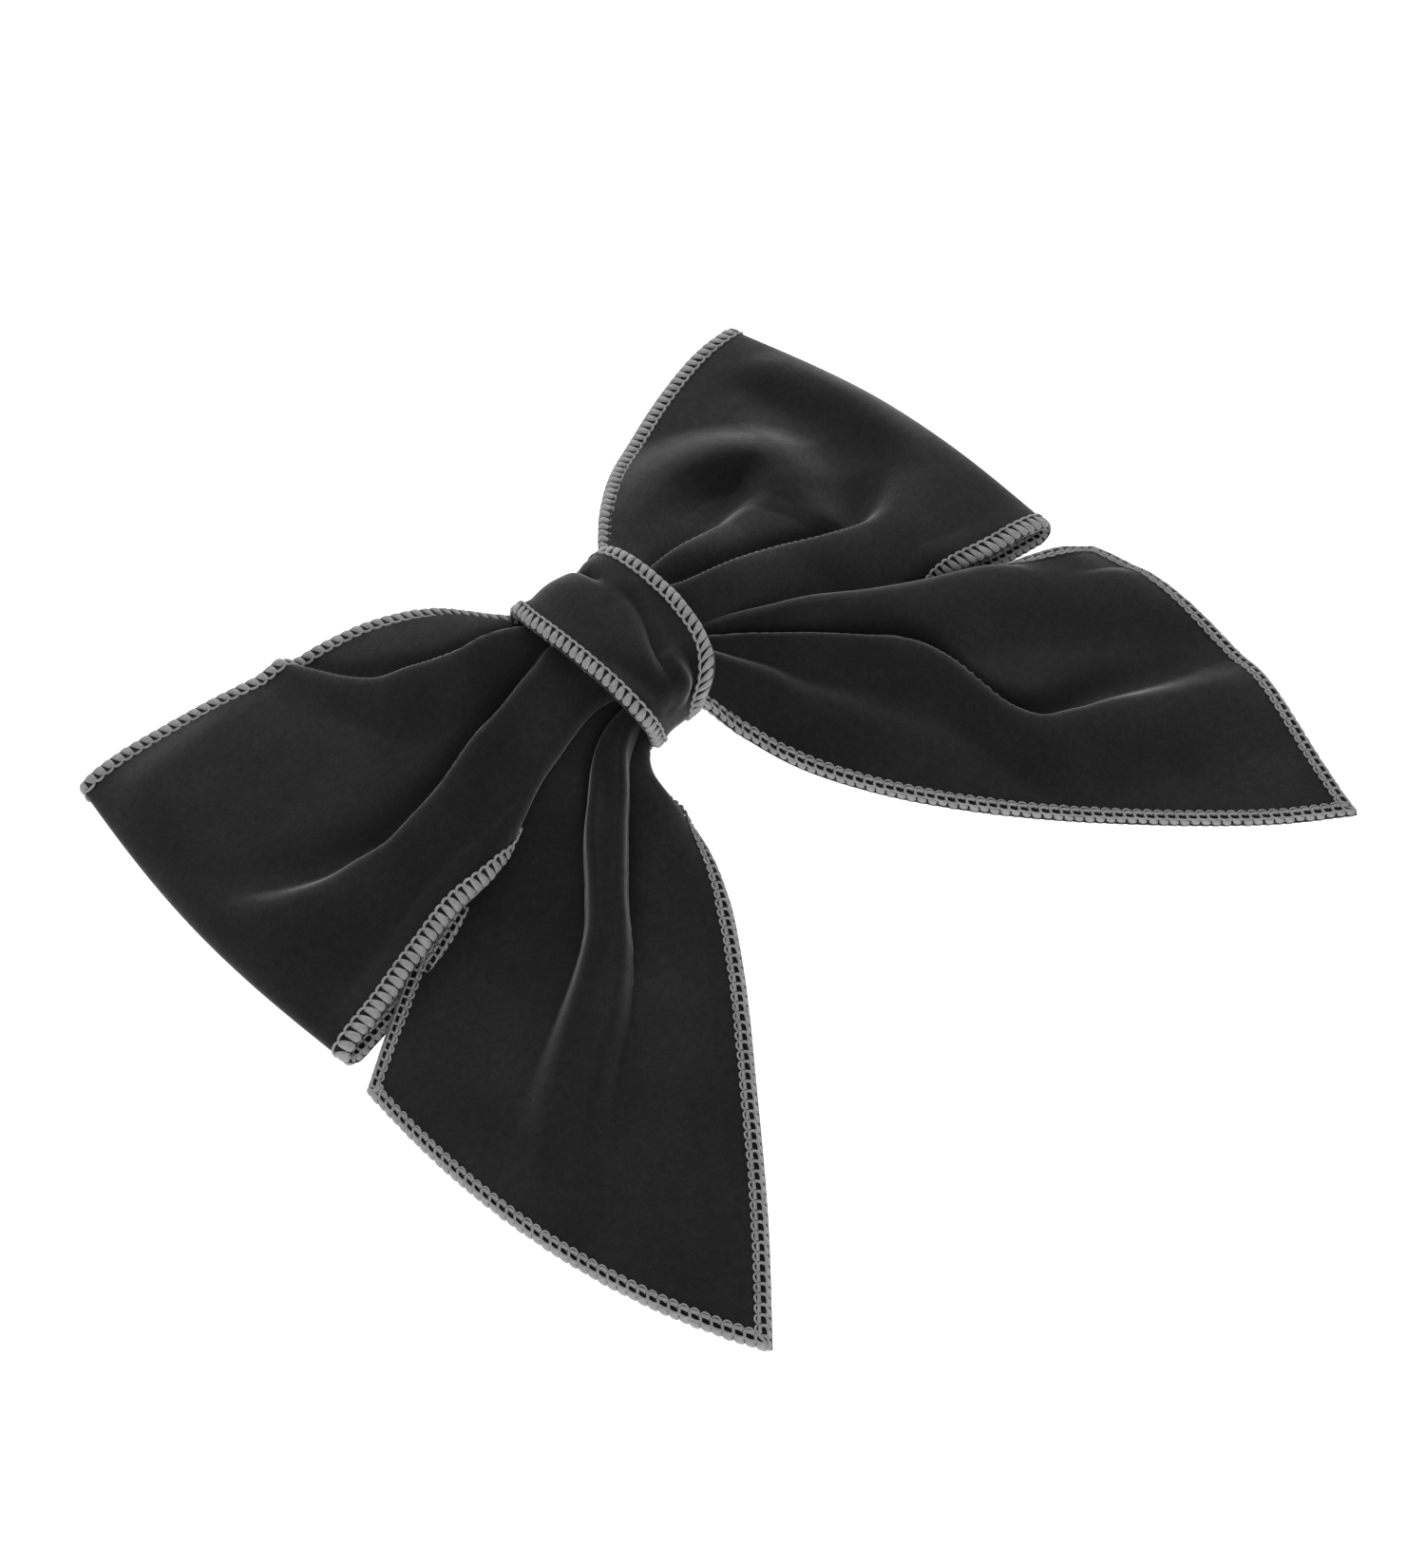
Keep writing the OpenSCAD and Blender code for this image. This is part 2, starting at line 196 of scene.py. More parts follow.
def velvet_material():
    m = Nodes("velvet")
    place = m.add("ShaderNodeTexCoord").outputs["Object"]
    patches = m.noise(place, 60, 3, 0.55)
    pile = m.noise(place, 2400, 4, 0.75)
    tufts = m.noise(place, 700, 3, 0.6)
    brushed = m.blend(patches, 0.3, tufts, 0.25)
    grain = m.math("ADD", brushed, m.math("MULTIPLY", pile, 0.45))
    # Painted sheen: the base colour is darkest where the velvet is seen along its pile, and is
    # painted brighter where the surface turns away from the camera.
    turned = m.add("ShaderNodeLayerWeight", Blend=0.5).outputs["Facing"]
    tone_and_painted_sheen = m.ramp(turned, (0.0, 0.0055), (0.11, 0.008), (0.24, 0.0118), (0.45, 0.019),
                   (0.7, 0.039), (0.92, 0.1))
    shade = m.ramp(grain, (0.34, (0.55, 0.55, 0.56)), (0.5, (1.0, 1.0, 1.01)),
                   (0.66, (1.65, 1.65, 1.68)))
    # Painted shade: the base colour is darkened in the creases, where ambient occlusion finds them.
    openness = m.add("ShaderNodeAmbientOcclusion", samples=6, Distance=0.005).outputs["AO"]
    painted_crease_shade = m.ramp(openness, (0.0, 0.35), (0.55, 0.9), (0.8, 1.0))
    m.wire(m.multiply(m.multiply(tone_and_painted_sheen, shade), painted_crease_shade), m.bsdf.inputs["Base Color"])
    m.surface({"Roughness": 0.95, "Specular IOR Level": 0.1, "Sheen Weight": 0.15,
               "Sheen Roughness": 0.3, "Sheen Tint": (0.95, 0.95, 1, 1)})
    m.bump(m.blend(pile, 0.6, tufts, 0.6), 0.3, 0.0002)
    return m.mat


def thread_material(name, dark, light):
    """Spun filament thread. The UV map runs along each strand, so the filaments follow it."""
    m = Nodes(name)
    uv = m.add("ShaderNodeUVMap", uv_map="strand").outputs["UV"]
    place = m.add("ShaderNodeTexCoord").outputs["Object"]
    strands = m.noise(uv, 1.0, 3, 0.6, stretch=(1.2, 9.0, 1.0))
    worn = m.noise(place, 260, 3, 0.6)
    color = m.ramp(m.blend(strands, 0.65, worn, 0.35), (0.3, dark), (0.7, light))
    m.wire(color, m.bsdf.inputs["Base Color"])
    m.surface({"Roughness": 0.62, "Specular IOR Level": 0.35, "Sheen Weight": 0.25,
               "Sheen Roughness": 0.4})
    m.bump(strands, 0.6, 0.00012)
    return m.mat


def steel_material():
    m = Nodes("plated_steel")
    place = m.add("ShaderNodeTexCoord").outputs["Object"]
    brushed = m.noise(place, 500, 4, 0.6, stretch=(0.12, 3.0, 3.0))
    smudge = m.noise(place, 120, 3, 0.5)
    color = m.ramp(smudge, (0.3, (0.56, 0.56, 0.57)), (0.7, (0.66, 0.66, 0.67)))
    m.wire(color, m.bsdf.inputs["Base Color"])
    m.surface({"Metallic": 1.0})
    rough = m.math("ADD", m.math("MULTIPLY", brushed, 0.22), 0.2)
    m.wire(rough, m.bsdf.inputs["Roughness"])
    m.bump(brushed, 0.12, 0.0001)
    return m.mat


# ---- Curves and surfaces -----------------------------------------------------------------------


def smooth(t):
    t = np.clip(t, 0, 1)
    return t * t * (3 - 2 * t)


def ease(x, start, end):
    """0 before start and 1 after end, eased in between."""
    return smooth((x - start) / (end - start))


def rounded(x, power):
    """A sine or cosine changed so that a circle becomes a rounded rectangle."""
    return np.sign(x) * np.abs(x) ** (2 / power)


def unit(v):
    return v / np.maximum(np.linalg.norm(v, axis=-1, keepdims=True), 1e-12)


def through(points, t):
    """A smooth curve through points at parameters t, where the points lie at 0, 1, 2..."""
    p = np.array(points, float)
    padded = np.concatenate([2 * p[:1] - p[1:2], p, 2 * p[-1:] - p[-2:-1]])
    t = np.clip(np.asarray(t, float), 0, len(p) - 1)
    i = np.minimum(t.astype(int), len(p) - 2)
    f = (t - i)[:, None]
    a, b, c, d = padded[i], padded[i + 1], padded[i + 2], padded[i + 3]
    return 0.5 * (2 * b + (c - a) * f + (2 * a - 5 * b + 4 * c - d) * f**2
                  + (3 * b - 3 * c + d - a) * f**3)


def lengths(path):
    """How far along a path each of its points lies."""
    return np.concatenate([[0], np.cumsum(np.linalg.norm(np.diff(path, axis=0), axis=1))])


def keyed(keys, s):
    """Values eased between (station, value) keys, held before the first and after the last."""
    x = np.array([k[0] for k in keys], float)
    y = np.array([k[1] for k in keys], float)
    if len(x) == 1:
        return np.full(np.shape(s), y[0])
    slope = np.gradient(y, x) if len(x) > 2 else np.full(2, (y[1] - y[0]) / (x[1] - x[0]))
    s = np.clip(s, x[0], x[-1])
    i = np.clip(np.searchsorted(x, s, side="right") - 1, 0, len(x) - 2)
    h = x[i + 1] - x[i]
    f = (s - x[i]) / h
    return ((1 + 2 * f) * (1 - f) ** 2 * y[i] + f * (1 - f) ** 2 * h * slope[i]
            + f * f * (3 - 2 * f) * y[i + 1] + f * f * (f - 1) * h * slope[i + 1])


STATION_GAP = 11.5      # about how many mm of ribbon there are from one station to the next
VALLEY_AT = 1.25        # where a fold's valley is deepest, in reaches of its far slope
VALLEY_WIDE = 0.7
RIDGE_POINTS = 120
RIDGE_TURN = 3          # mm in which a ridge's inner slope gives way to its outer one
TIGHT_FROM = 1.26       # a tuck tightens from this turn, in radians
TIGHT_OVER = 1.4


class Fold:
    """A fold line along a ribbon.

    at, high, near and far are (station, value) keys: where the crest lies across the ribbon from 0
    to 1, its height in mm, and how far its two slopes reach in mm. lean, a number or keys, tips the
    crest over, and dip is the depth of the valley behind it as a share of the height.
    """

    def __init__(self, at, high, near, far, lean=0.0, dip=0.0):
        self.at, self.high, self.near, self.far = at, high, near, far
        self.lean = lean if np.ndim(lean) else [(0, lean)]
        self.dip = dip

    def push(self, s, v, width):
        """How far the fold lifts each point, and how far it tips it towards the upper edge."""
        x = (v - keyed(self.at, s)) * width
        high, far = keyed(self.high, s), keyed(self.far, s)
        reach = np.where(x < 0, keyed(self.near, s), far)
        lift = high * (1 - smooth(np.abs(x) / reach))
        valley = np.exp(-((x - VALLEY_AT * far) / (VALLEY_WIDE * far)) ** 2) * smooth(x / far)
        return lift - self.dip * high * valley, keyed(self.lean, s) * lift


class Pleat:
    """A raised pleat with a flat top.

    low and top are the keys of its two sides across the ribbon, and slope that of how many mm each
    side takes. spread leans the sides outwards, and dish hollows the top, as shares of the height.
    """

    def __init__(self, low, top, high, slope, spread, dish):
        self.low, self.top, self.high = low, top, high
        self.slope, self.spread, self.dish = slope, spread, dish

    def push(self, s, v, width):
        low, top = keyed(self.low, s), keyed(self.top, s)
        slope = keyed(self.slope, s)
        up = smooth(1 + (v - low) * width / slope)
        down = smooth(1 + (top - v) * width / slope)
        middle = np.clip((v - low) / np.maximum(top - low, 1e-3), 0, 1)
        high = keyed(self.high, s)
        lift = high * up * down * (1 - self.dish * np.sin(math.pi * middle))
        tip = smooth(2 * middle - 1) * down - smooth(1 - 2 * middle) * up
        return lift, self.spread * high * tip


class Ridge:
    """A crest along a path of (station, place across, height) points that may hook back.

    A height below 0 makes it a valley. inner and outer are the mm that its two slopes reach.
    """

    def __init__(self, path, inner, outer):
        self.path, self.inner, self.outer = path, inner, outer

    def push(self, s, v, width):
        line = through(self.path, np.linspace(0, len(self.path) - 1, RIDGE_POINTS))
        broad = np.interp(line[:, 0], s[:, 0], np.broadcast_to(width, s.shape)[:, 0])
        crest = np.stack([line[:, 0] * STATION_GAP, line[:, 1] * broad], -1)
        along = unit(np.gradient(crest, axis=0))
        points = np.stack([s * STATION_GAP, v * width], -1)
        gap = points[:, :, None] - crest
        apart = np.linalg.norm(gap, axis=-1)
        k = apart.argmin(axis=-1)
        nearest = np.take_along_axis(gap, k[..., None, None], axis=2)[:, :, 0]
        side = along[k][..., 0] * nearest[..., 1] - along[k][..., 1] * nearest[..., 0]
        reach = self.outer + (self.inner - self.outer) * smooth(0.5 - side / RIDGE_TURN)
        lift = line[k, 2] * (1 - smooth(apart.min(axis=-1) / reach))
        return lift, np.zeros_like(lift)


class Tuck:
    """An edge that curls under: wide mm of cloth turn through an angle, in keys of degrees.

    A gentle turn takes up the whole width. A full one has its radius cut by the share tight, and
    the rest of the width runs on flat.
    """

    def __init__(self, wide, turn, tight=0.0):
        self.wide, self.turn, self.tight = wide, turn, tight

    def measure(self, s, span):
        """The bend's radius, and the shares of the span that it takes up and that it shows."""
        turn = np.radians(np.maximum(keyed(self.turn, s), 1.0))[:, None]
        radius = self.wide / turn * (1 - self.tight * smooth((turn - TIGHT_FROM) / TIGHT_OVER))
        flat = (self.wide - radius * turn) * np.maximum(np.cos(turn), 0)
        reach = radius * np.sin(np.minimum(turn, math.pi / 2)) + flat
        return turn, radius, self.wide / span, reach / span


NO_TUCK = Tuck(1.0, [(0, 0), (1, 0)])


def panel(lower, upper, folds, s, v, arch, tuck_low, tuck_high):
    """A grid of points between two edge curves, raised by its folds. s counts stations."""
    low, high = through(lower, s), through(upper, s)
    span = np.linalg.norm(high - low, axis=1)[:, None]
    across = unit(high - low)[:, None]
    turn_a, radius_a, taken_a, shown_a = tuck_low.measure(s, span)
    turn_b, radius_b, taken_b, shown_b = tuck_high.measure(s, span)
    inner = np.clip((v[None] - taken_a) / (1 - taken_a - taken_b), 0, 1)
    vv = shown_a + inner * (1 - shown_a - shown_b)
    ss = np.repeat(s[:, None], len(v), 1)
    grid = low[:, None] * (1 - vv)[..., None] + high[:, None] * vv[..., None]
    lift = keyed(arch, ss) * (1 - (2 * vv - 1) ** 2)
    shift = np.zeros_like(lift)
    for fold in folds:
        rise, tip = fold.push(ss, vv, span)
        lift += rise
        shift += tip
    for full, radius, beyond, way in ((turn_a, radius_a, (taken_a - v[None]) * span, -1),
                                      (turn_b, radius_b, (v[None] - 1 + taken_b) * span, 1)):
        beyond = np.maximum(beyond, 0)
        turn = np.minimum(beyond / radius, full)
        flat = beyond - radius * turn
        shift += way * (radius * np.sin(turn) + flat * np.cos(turn))
        lift -= radius * (1 - np.cos(turn)) + flat * np.sin(turn)
    grid[..., 2] += lift
    return grid + across * shift[..., None]


def grid_normals(grid):
    du = np.gradient(grid, axis=0)
    dv = np.gradient(grid, axis=1)
    return unit(np.cross(du, dv))


def new_object(name, verts, faces, material, uvs=None):
    mesh = bpy.data.meshes.new(name)
    mesh.from_pydata((np.asarray(verts) * MM).tolist(), [], faces)
    if uvs is not None:
        layer = mesh.uv_layers.new(name="strand")
        loops = np.zeros(len(mesh.loops), int)
        mesh.loops.foreach_get("vertex_index", loops)
        layer.data.foreach_set("uv", np.asarray(uvs, float)[loops].ravel())
    mesh.materials.append(material)
    mesh.polygons.foreach_set("use_smooth", [True] * len(mesh.polygons))
    mesh.validate()
    obj = bpy.data.objects.new(name, mesh)
    bpy.context.collection.objects.link(obj)
    return obj


def cloth_object(name, grid, thick, material, closed=False):
    """A closed cloth solid round a grid of points. closed joins the last row to the first."""
    n, m = grid.shape[:2]
    if closed:
        wrapped = np.concatenate([grid[-1:], grid, grid[:1]])
        normal = grid_normals(wrapped)[1:-1]
    else:
        normal = grid_normals(grid)
    t = np.broadcast_to(thick, (n, m))[..., None] / 2
    above, below = grid + normal * t, grid - normal * t
    # The cut edges are rounded, with one more row of points half way through the cloth.
    side_a = grid[:, 0] + unit(grid[:, 0] - grid[:, 1]) * t[:, 0]
    side_b = grid[:, -1] + unit(grid[:, -1] - grid[:, -2]) * t[:, -1]
    ring = np.concatenate([above, side_b[:, None], below[:, ::-1], side_a[:, None]], axis=1)
    k = ring.shape[1]
    faces = []
    for i in range(n if closed else n - 1):
        a, b = i * k, ((i + 1) % n) * k
        for j in range(k):
            jj = (j + 1) % k
            faces.append((a + j, b + j, b + jj, a + jj))
    if not closed:
        for base, flip in ((0, False), ((n - 1) * k, True)):
            for j in range(m - 1):
                quad = (base + j, base + j + 1, base + 2 * m - 1 - j, base + 2 * m - j)
                faces.append(quad[::-1] if flip else quad)
            for j, e in ((m - 1, m), (0, k - 1)):
                faces.append((base + j, base + e, base + (m + 1 if e == m else 2 * m)))
    return new_object(name, ring.reshape(-1, 3), faces, material)


# ---- The ribbons -------------------------------------------------------------------------------

# The edges of each panel, with a point in mm at every station from the middle of the knot, 0, to
# the panel's outer end, 8.
LEFT_LOOP_UPPER = [(0, 14, 19), (-9, 21.5, 18.5), (-15.5, 36.3, 14), (-24, 45.6, 9.5),
                   (-36, 50.2, 6.8), (-48, 53.2, 5.6), (-58, 55.2, 5.1), (-70, 56.8, 4.7),
                   (-80.8, 57.5, 4.4)]
LEFT_LOOP_LOWER = [(-0.9, -3.9, 16.6), (-12.2, -1.9, 16.9), (-25.8, -5.4, 16.2),
                   (-37.1, -9.3, 13.3), (-46.6, -13.2, 9.4), (-56.4, -14.4, 6.5), (-66, -16, 5),
                   (-76, -17.7, 4.6), (-86, -19.3, 4.4)]
RIGHT_LOOP_UPPER = [(0, 14, 18.5), (11, 20, 17.5), (16.5, 26.5, 12.5), (25, 34.8, 9.5), (36, 43, 7),
                    (48, 48.9, 5.8), (59, 53.3, 5.1), (70.4, 56.6, 4.7), (82.3, 58.2, 4.4)]
RIGHT_LOOP_LOWER = [(-0.9, -3.9, 16.6), (9.2, -6.8, 13.9), (20.6, -11, 11.5), (32.5, -13.4, 9.3),
                    (45.1, -14.3, 6.8), (56.8, -15.6, 5.3), (66, -17.8, 4.7), (76, -20, 4.5),
                    (86.8, -21.5, 4.4)]
LEFT_TAIL_OUTER = [(-0.4, 5.6, 13.3), (-12, 3, 12.5), (-26.2, 0.3, 11.4), (-38.7, -2.2, 10.8),
                   (-48.2, -4.2, 5.9), (-58.4, -8.6, 2.6), (-69, -14.8, 1.7), (-78.7, -20.8, 1.6),
                   (-87.5, -26.4, 1.6)]
LEFT_TAIL_INNER = [(-1.8, -10.3, 14.1), (-7.8, -11.1, 12.1), (-12, -15.7, 8), (-13.7, -26.2, 4.6),
                   (-19.2, -40.3, 3.1), (-29.3, -55, 2.1), (-43.5, -72, 1.5), (-59, -89.8, 1.3),
                   (-75, -106.5, 1.2)]
RIGHT_TAIL_OUTER = [(-0.4, 5.6, 13.3), (9.2, 1.2, 15.1), (20.6, -3.4, 13.7), (31.7, -9.5, 12),
                    (44.6, -14, 8), (56.8, -17.6, 5), (68.5, -21, 3.1), (78.9, -26.1, 1.9),
                    (89.4, -30.6, 1.7)]
RIGHT_TAIL_INNER = [(-1.8, -10.8, 14.1), (3.7, -12.3, 12.6), (7.3, -19.2, 7.2), (12, -31, 3.6),
                    (20, -46.5, 2.4), (32, -63.5, 1.8), (47, -80.5, 1.4), (62, -95.3, 1.3),
                    (74.5, -104.8, 1.2)]

LEFT_LOOP_FOLDS = [
    # The long fold down the middle of the loop.
    Fold(at=[(0, 0.4), (1.1, 0.33), (1.7, 0.245), (2.2, 0.2), (3, 0.205), (4.4, 0.222),
             (5.1, 0.222), (5.8, 0.25), (6.3, 0.268), (6.9, 0.315), (7.5, 0.38)],
         high=[(0, 1), (1.2, 3), (2.5, 5.5), (5, 5), (7, 2.4), (7.8, 0)],
         near=[(0, 6), (2, 10), (5, 19), (7.5, 24)], far=[(0, 3), (2, 4), (5, 5.5), (7.5, 9)],
         lean=0.45, dip=0.22),
    # The low swell along the upper edge.
    Fold(at=[(4.5, 0.9), (8, 0.85)], high=[(4.5, 0), (6, 1.8), (7.5, 1.2), (8, 0)], near=[(0, 24)],
         far=[(0, 9)]),
    # The short fold that hooks up to the upper edge.
    Fold(at=[(0, 0.65), (1.1, 0.6), (1.5, 0.56), (1.9, 0.53), (2.3, 0.52), (2.7, 0.555),
             (3.1, 0.61), (3.6, 0.69), (3.85, 0.77), (4.1, 0.87), (4.35, 0.98)],
         high=[(0, 1), (1.2, 3), (2, 4.5), (3, 4), (4, 2), (4.7, 0)],
         near=[(0, 7), (2, 9), (4, 16)], far=[(0, 3), (2, 4), (4, 6)], lean=0.5, dip=0.3),
]
RIGHT_LOOP_FOLDS = [
    # The long fold along the lower side, which dies out in the outer half.
    Fold(at=[(0, 0.43), (1.8, 0.37), (2.6, 0.335), (3.1, 0.313), (3.8, 0.272), (4.5, 0.224),
             (5.2, 0.195), (5.9, 0.2), (6.6, 0.245), (7.2, 0.3)],
         high=[(0, 1), (1.2, 3), (2.5, 4.8), (4.5, 4.2), (6, 2.6), (7.4, 0)],
         near=[(0, 6), (2, 9), (5, 15)], far=[(0, 3), (2, 3.4), (5, 4.5), (7, 9)], lean=0.4,
         dip=0.55),
    # The short fold beside the hollow.
    Fold(at=[(0, 0.6), (1.9, 0.57), (2.6, 0.54), (3.3, 0.51), (3.7, 0.495), (4.3, 0.485),
             (4.9, 0.475)],
         high=[(0, 1), (1.2, 3), (2.2, 4.2), (3.4, 3.4), (4.9, 0)],
         near=[(0, 6), (2, 9), (4, 13)], far=[(0, 3), (2, 3.4), (4, 5)], lean=0.4, dip=0.4),
    # The puffed arch round the hollow.
    Ridge(path=[(1, 0.91, 0), (2.4, 0.885, 2), (3.5, 0.84, 3.3), (4.3, 0.785, 4), (4.8, 0.725, 4.3),
                (5.2, 0.67, 4.4), (5.4, 0.62, 4.4), (5.4, 0.57, 4.1), (5.2, 0.52, 3.5),
                (4.9, 0.485, 2.5), (4.5, 0.47, 1)],
          inner=8, outer=15),
    # The valley at the foot of the arch.
    Ridge(path=[(6.3, 0.56, 0), (6.3, 0.5, -0.9), (6.1, 0.43, -1.5), (5.7, 0.37, -1.5),
                (5.2, 0.33, 0)], inner=8, outer=7),
    # The deep hollow inside it.
    Ridge(path=[(3.5, 0.65, 0), (4.1, 0.64, -0.4), (4.6, 0.61, -0.6), (4.9, 0.57, -0.4),
                (5.1, 0.52, 0)], inner=8, outer=8),
    # The dip and the low swell between the arch and the loop's end.
    Ridge(path=[(6.4, 0.88, 0), (6.8, 0.8, -1.2), (6.8, 0.7, -2), (6.6, 0.55, -1.6),
                (6.3, 0.42, 0)], inner=9, outer=9),
    Ridge(path=[(7.2, 0.3, 0), (7.35, 0.45, 1.4), (7.5, 0.6, 1.6), (7.45, 0.8, 0.8)], inner=8,
          outer=8),
]
LEFT_TAIL_FOLDS = [
    # The raised pleat down the middle.
    Pleat(low=[(0, 0.2), (1.2, 0.23), (2, 0.265), (3.2, 0.36), (4.2, 0.4), (5, 0.39), (5.6, 0.4),
               (6.1, 0.43), (6.7, 0.45), (8, 0.47)],
          top=[(0, 0.3), (1, 0.31), (1.9, 0.37), (2.8, 0.425), (3.6, 0.46), (4.3, 0.455),
               (4.8, 0.45), (5.3, 0.47), (5.8, 0.5), (6.4, 0.53), (8, 0.54)],
          high=[(0, 1), (1, 2.4), (2, 4.2), (4.5, 4.6), (5.6, 3.4), (7.4, 0.6), (8, 0)],
          slope=[(0, 1.2), (2, 1.8), (5, 2.8), (6.5, 5), (7.5, 8)], spread=0.14, dish=0.12),
    # The swell between the pleat and the outer edge.
    Fold(at=[(0, 0.66), (3, 0.68), (8, 0.7)],
         high=[(0.4, 0), (1.4, 2.6), (2.6, 3), (4, 1.6), (5.6, 0)],
         near=[(0, 4), (3, 10), (8, 14)], far=[(0, 6), (3, 14)]),
    # The swell between the pleat and the inner edge.
    Fold(at=[(0, 0.1), (2, 0.11), (5, 0.13), (8, 0.16)],
         high=[(0.6, 0), (1.6, 2.2), (3, 4.4), (5, 4), (7, 1.2), (8, 0)],
         near=[(0, 5), (3, 9), (8, 14)], far=[(0, 6), (3, 10), (8, 20)]),
]
RIGHT_TAIL_FOLDS = [
    # The rolled short edge.
    Fold(at=[(0, 0.93), (1.7, 0.94), (3, 0.97), (4.6, 0.97), (5.6, 0.955), (6.3, 0.92), (7, 0.885),
             (7.6, 0.86), (8, 0.84)],
         high=[(0, 1), (1, 3.2), (2, 2.9), (2.5, 3.6), (3, 4.7), (4, 4.5), (5, 3.9), (6.2, 3.3),
               (7, 2.8), (7.6, 2.4), (8, 0.9)],
         near=[(0, 6), (3, 10), (4.2, 13), (5, 17), (6, 19), (8, 18)],
         far=[(0, 3), (3, 4), (5.4, 4.4), (6.2, 5), (7, 6.5), (8, 7)], lean=0.1),
    # The long fold that turns down across the tail.
    Fold(at=[(0, 0.56), (1.7, 0.575), (2.4, 0.61), (3.1, 0.64), (3.8, 0.65), (4.3, 0.645),
             (4.65, 0.6), (4.9, 0.52), (5.05, 0.44), (5.2, 0.36), (5.4, 0.31), (5.8, 0.33),
             (6.2, 0.37), (6.7, 0.4), (7.3, 0.425), (8, 0.43)],
         high=[(0, 1), (1, 2.6), (3, 4.2), (4.6, 5), (5.4, 4.6), (6.5, 3), (8, 1)],
         near=[(0, 5), (2, 8), (5, 15), (8, 18)],
         far=[(0, 3), (3, 3.4), (4.6, 4.2), (5.4, 5), (6.2, 6), (8, 9)],
         lean=[(0, 0.8), (3, 0.7), (4.4, 0.35), (5.4, 0.3), (8, 0.2)], dip=0.45),
    # The short fold below it.
    Fold(at=[(0, 0.36), (1.7, 0.34), (2.1, 0.345), (2.5, 0.35), (2.9, 0.335), (3.4, 0.33),
             (4.4, 0.32)],
         high=[(0, 1), (1, 2), (2.2, 2.6), (3.4, 2), (4.7, 0)],
         near=[(0, 4), (2, 6), (4, 12)], far=[(0, 2.5), (2, 3), (4, 6)], lean=0.4, dip=0.4),
]

# Where the edges curl under, out of sight: the loops' lower edges, the left tail's inner edge and
# the right tail's outer one.
LEFT_LOOP_TUCK = Tuck(7.0, [(0, 185), (2.1, 185), (2.9, 135), (3.5, 95), (4.3, 50), (5.4, 15),
                            (6.4, 0), (8, 0)], 0.42)
RIGHT_LOOP_TUCK = Tuck(7.0, [(0, 185), (3.4, 185), (4.4, 150), (5.2, 90), (6, 40), (7, 5),
                             (8, 0)], 0.42)
LEFT_TAIL_TUCKS = (Tuck(6.0, [(0, 185), (1.8, 185), (2.6, 130), (3.3, 50), (4.2, 5), (8, 0)]),
                   NO_TUCK)
RIGHT_TAIL_TUCKS = (NO_TUCK,
                    Tuck(7.5, [(0, 185), (3.6, 185), (4.8, 150), (5.6, 130), (6.2, 100), (6.6, 45),
                               (7, 12), (8, 10)]))

# How high the middle of each panel arches above its edges.
LOOP_ARCH = [(0, 2), (1, 3), (2, 4), (4, 2.5), (8, 2.2)]
TAIL_ARCH = [(0, 0.5), (1, 1), (3, 1.2), (8, 0.4)]

CLOTH_T = 1.3
LAST = 8                # the station of a panel's outer end
GATHERED = 2            # the station up to which the knot gathers a panel
GATHERED_ROWS = np.linspace(0, GATHERED, 24)
END_S = 7.2             # where a loop's top layer starts to turn down to its outer end
END_Z = 2.6             # height of the outermost line of a loop's end
END_IN = 2.4            # how far the end's lower half reaches in
END_ROWS = 24
TOP_ROWS = 86
UNDER_ROWS = 100
LOOP_COLUMNS = 121
TAIL_ROWS = 110
TAIL_COLUMNS = 161
END_GAP = 0.3           # half the gap between the loop ribbon's two ends, under the knot
RIGHT_SWELL = 4.2       # how far the middle of a loop's end stands out past its corners
LEFT_SWELL = 3.0
UNDER_Z = 0.95          # height of the under layer where it lies on the table
# How far in from the top layer the under layer's lower edge lies, and how far below the top
# layer's edges the under layer is, in mm.
UNDER_INSET = [(0, 6), (3.4, 6), (4.4, 2.5), (5.5, 0.3), (8, -0.4)]
UNDER_DEPTH = [(0, 5.5), (1, 5), (3, 5.2), (4, 4.8), (5, 3.5), (6, 3.6), (8, 6)]
UNDER_WAVE = 0.8        # the height of its waves across, and how often they come
UNDER_WAVES = 17.0
CUT_SWELL = 6.6         # how far a tail's slanting cut bows out
CUT_SLOPE = -0.55       # the way in which it does, as Y to X
RIGHT_CUT_SKEW = 1.35   # moves the bow along the cut towards the outer corner
LEFT_CUT_SKEW = 1.0
TAIL_LOWEST = CLOTH_T / 2 + 0.2


def side_of(edge):
    """1 for an edge on the right of the knot, and -1 on the left."""
    return 1 if edge[-1][0] > 0 else -1


def join_halves(left, right):
    """One strip from two panels that meet in the middle of the knot."""
    right[0] = left[0] = (right[0] + left[0]) / 2
    return np.concatenate([left[::-1], right[1:]])


